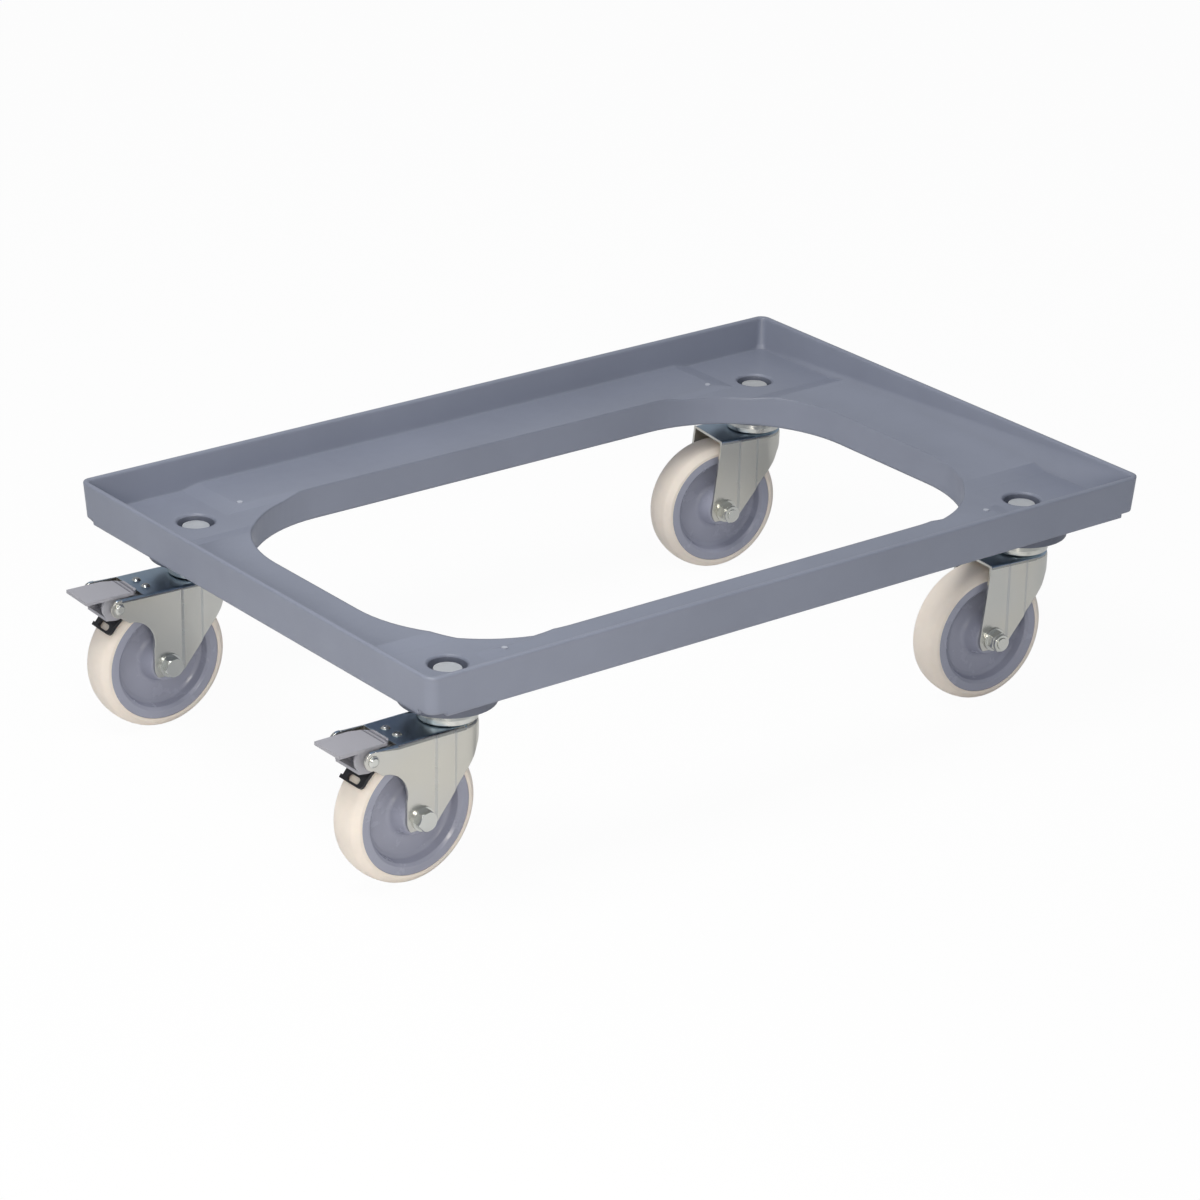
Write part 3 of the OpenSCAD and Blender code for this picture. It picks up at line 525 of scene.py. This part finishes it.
# Wheels: radius, half height and fillet of each corner of the body, from the bore outwards
def wheel_profile():
    side = [(6.06, 17.3, 0.5), (12.4, 17.3, 1.6), (16.4, 4.9, 4.0), (30.6, 4.4, 2.0), (33.4, 6.0, 2.2),
            (34.6, 11.6, 1.2), (36.6, 13.35, 0.8), (42.28, 13.4, 0.6)]
    low = [(r, -h, q) for r, h, q in reversed(side)]
    return rounded(side + low, step=18)


def tread_profile(steps=26):
    """The tread's section: a flat crown between rounded shoulders."""
    out = [(TREAD_SEAT_R, TREAD_HALF), (TREAD_SEAT_R, -TREAD_HALF)]
    for i in range(steps + 1):
        h = TREAD_HALF * math.sin(math.pi / 2 * (2 * i / steps - 1))
        out.append((min(mid + math.sqrt(r ** 2 - h * h) for mid, r in (CROWN, SHOULDER)), h))
    return out


def build_wheel(k):
    bm = bmesh.new()
    lathe(bm, wheel_profile(), seg=112)
    finish_mesh("wheel_body_" + k, bm, on_axle(k), [WHEEL], "rolling_" + k,
                ["wheel_" + k])
    bm = bmesh.new()
    lathe(bm, tread_profile(), seg=128)
    finish_mesh("wheel_tread_" + k, bm, on_axle(k), [TREAD], "rolling_" + k,
                ["tread_" + k], angle=50)


# Forks and their fittings
def build_fork(k):
    """The folded sheet, with a pressed panel that stands a little proud in each side plate; its top is
    tinted blue as painted reflection and its creases are darkened with painted shade.
    """
    bm = caster_copy(k, "fork", reversed(ends_of(CREASES)))
    panel = (CREASES[0][1] - 0.1, CREASES[1][0] + 0.1)
    for v in bm.verts:
        in_side_plate = abs(v.co.y) > FORK_HALF - 3 and v.co.z < FORK_TOP - 1.4
        if in_side_plate and within(v.co.x, (panel,)):
            v.co.y += math.copysign(PROUD, v.co.y)
    back = BRAKE_BACK if k in BRAKES else PLAIN_BACK

    def rule(c, d):
        """Wide rounding where the sheet is folded down, less at the seat, least at cut edges."""
        folded = math.hypot(min(c.x, 0), c.y) > SEAT_R + 3 and c.x < back - 0.2
        if folded and abs(c.z - FORK_TOP) < 0.05:
            return 0.85 if c.x > FRONT_END else 1.6
        return 0.5 if abs(c.z - SEAT_TOP) < 0.05 else 0.14
    weigh(bm, rule, least=36)
    for f in bm.faces:
        c = f.calc_center_median()
        # painted reflection: the upward top faces get the bluish zinc
        if c.z > FORK_TOP - 0.1 and f.normal.z > 0.9:
            f.material_index = 1
        # painted shade: the crease strips of the side plates get the darker zinc
        elif abs(c.y) > FORK_HALF - 0.5 and c.z < CREASE_PAINTED_SHADE_TOP and within(c.x, CREASES):
            f.material_index = 2
    ob = finish_mesh("fork_sheet_" + k, bm, caster_matrix(k), [ZINC, ZINC_TOP_PAINTED_REFLECTION, ZINC_CREASE_PAINTED_SHADE],
                     "swivel_" + k, ["fork_" + k], angle=34)
    soften(ob, width_mm=2.2, segments=3, weight=True)


def build_simple(k, cad, name, mat, body, width):
    """A small piece with its CAD shape and rounded edges."""
    ob = finish_mesh(name + "_" + k, cad_copy(cad + "_" + k), Matrix(), [mat], body + k,
                     [cad + "_" + k], angle=34)
    soften(ob, width)


def build_pedal(k):
    """The pedal; the grooves beside the two bars on its pad are darkened with painted shade."""
    bm = caster_copy(k, "pedal", ends_of(GROOVES))
    for f in bm.faces:
        c = f.calc_center_median()
        # painted shade: the pad's top faces in the grooves get the dark plastic
        if f.normal.z > 0.9 and abs(c.z - PAD_TOP) < 0.1 and within(c.x, GROOVES):
            f.material_index = 1
    ob = finish_mesh("brake_pedal_" + k, bm, caster_matrix(k), [PEDAL, PEDAL_GROOVE_PAINTED_SHADE], "brake_" + k,
                     ["pedal_" + k], angle=34)
    soften(ob, width_mm=0.35)


def build_head(k, flutes=10, depth=0.45):
    """The swivel's cup, with shallow flutes around its side."""
    bm = bmesh.new()
    # radius, height and fillet of each corner of its section
    prof = rounded([(17.4, 107.05, 0.6), (20.45, 107.0, 0.8), (20.45, 110.5, 2.2), (19.6, 114.5, 1.5),
                    (18.8, 118.55, 1.2), (8.55, 118.55), (8.55, 116.2), (17.4, 116.1, 1.5)], step=20)

    def wave(a, r, h):
        on_side = r > 18.5 and 108 < h < 117
        return -depth * (0.5 + 0.5 * math.cos(flutes * a)) ** 2 if on_side else 0.0
    lathe(bm, prof, seg=120, wave=wave)
    finish_mesh("head_cup_" + k, bm, caster_matrix(k), [HEAD], "deck", ["swivel_cup_" + k])


for k in YAW:
    build_wheel(k)
    build_fork(k)
    build_head(k)
    build_simple(k, "axle_bolt", "axle_screw", BOLT, "swivel_", 0.35)
    build_simple(k, "axle_nut", "axle_locknut", BOLT, "swivel_", 0.35)
    if k in BRAKES:
        build_pedal(k)
        build_simple(k, "release_tab", "release_lever", BLACK, "brake_", 0.4)
        build_simple(k, "pivot_rivet", "pivot_pin", BOLT, "swivel_", 0.35)
        build_simple(k, "blade_rivets", "blade_pins", BOLT, "swivel_", 0.3)
build_deck()

# What stays as the CAD has it
for name, ob in NODES.items():
    m = STEEL
    if name.startswith(("mount_bolts", "mount_washers")):
        m = RECESSED
    elif name.startswith("mount_nuts"):
        m = BOLT
    ob.data.materials.clear()
    ob.data.materials.append(m)
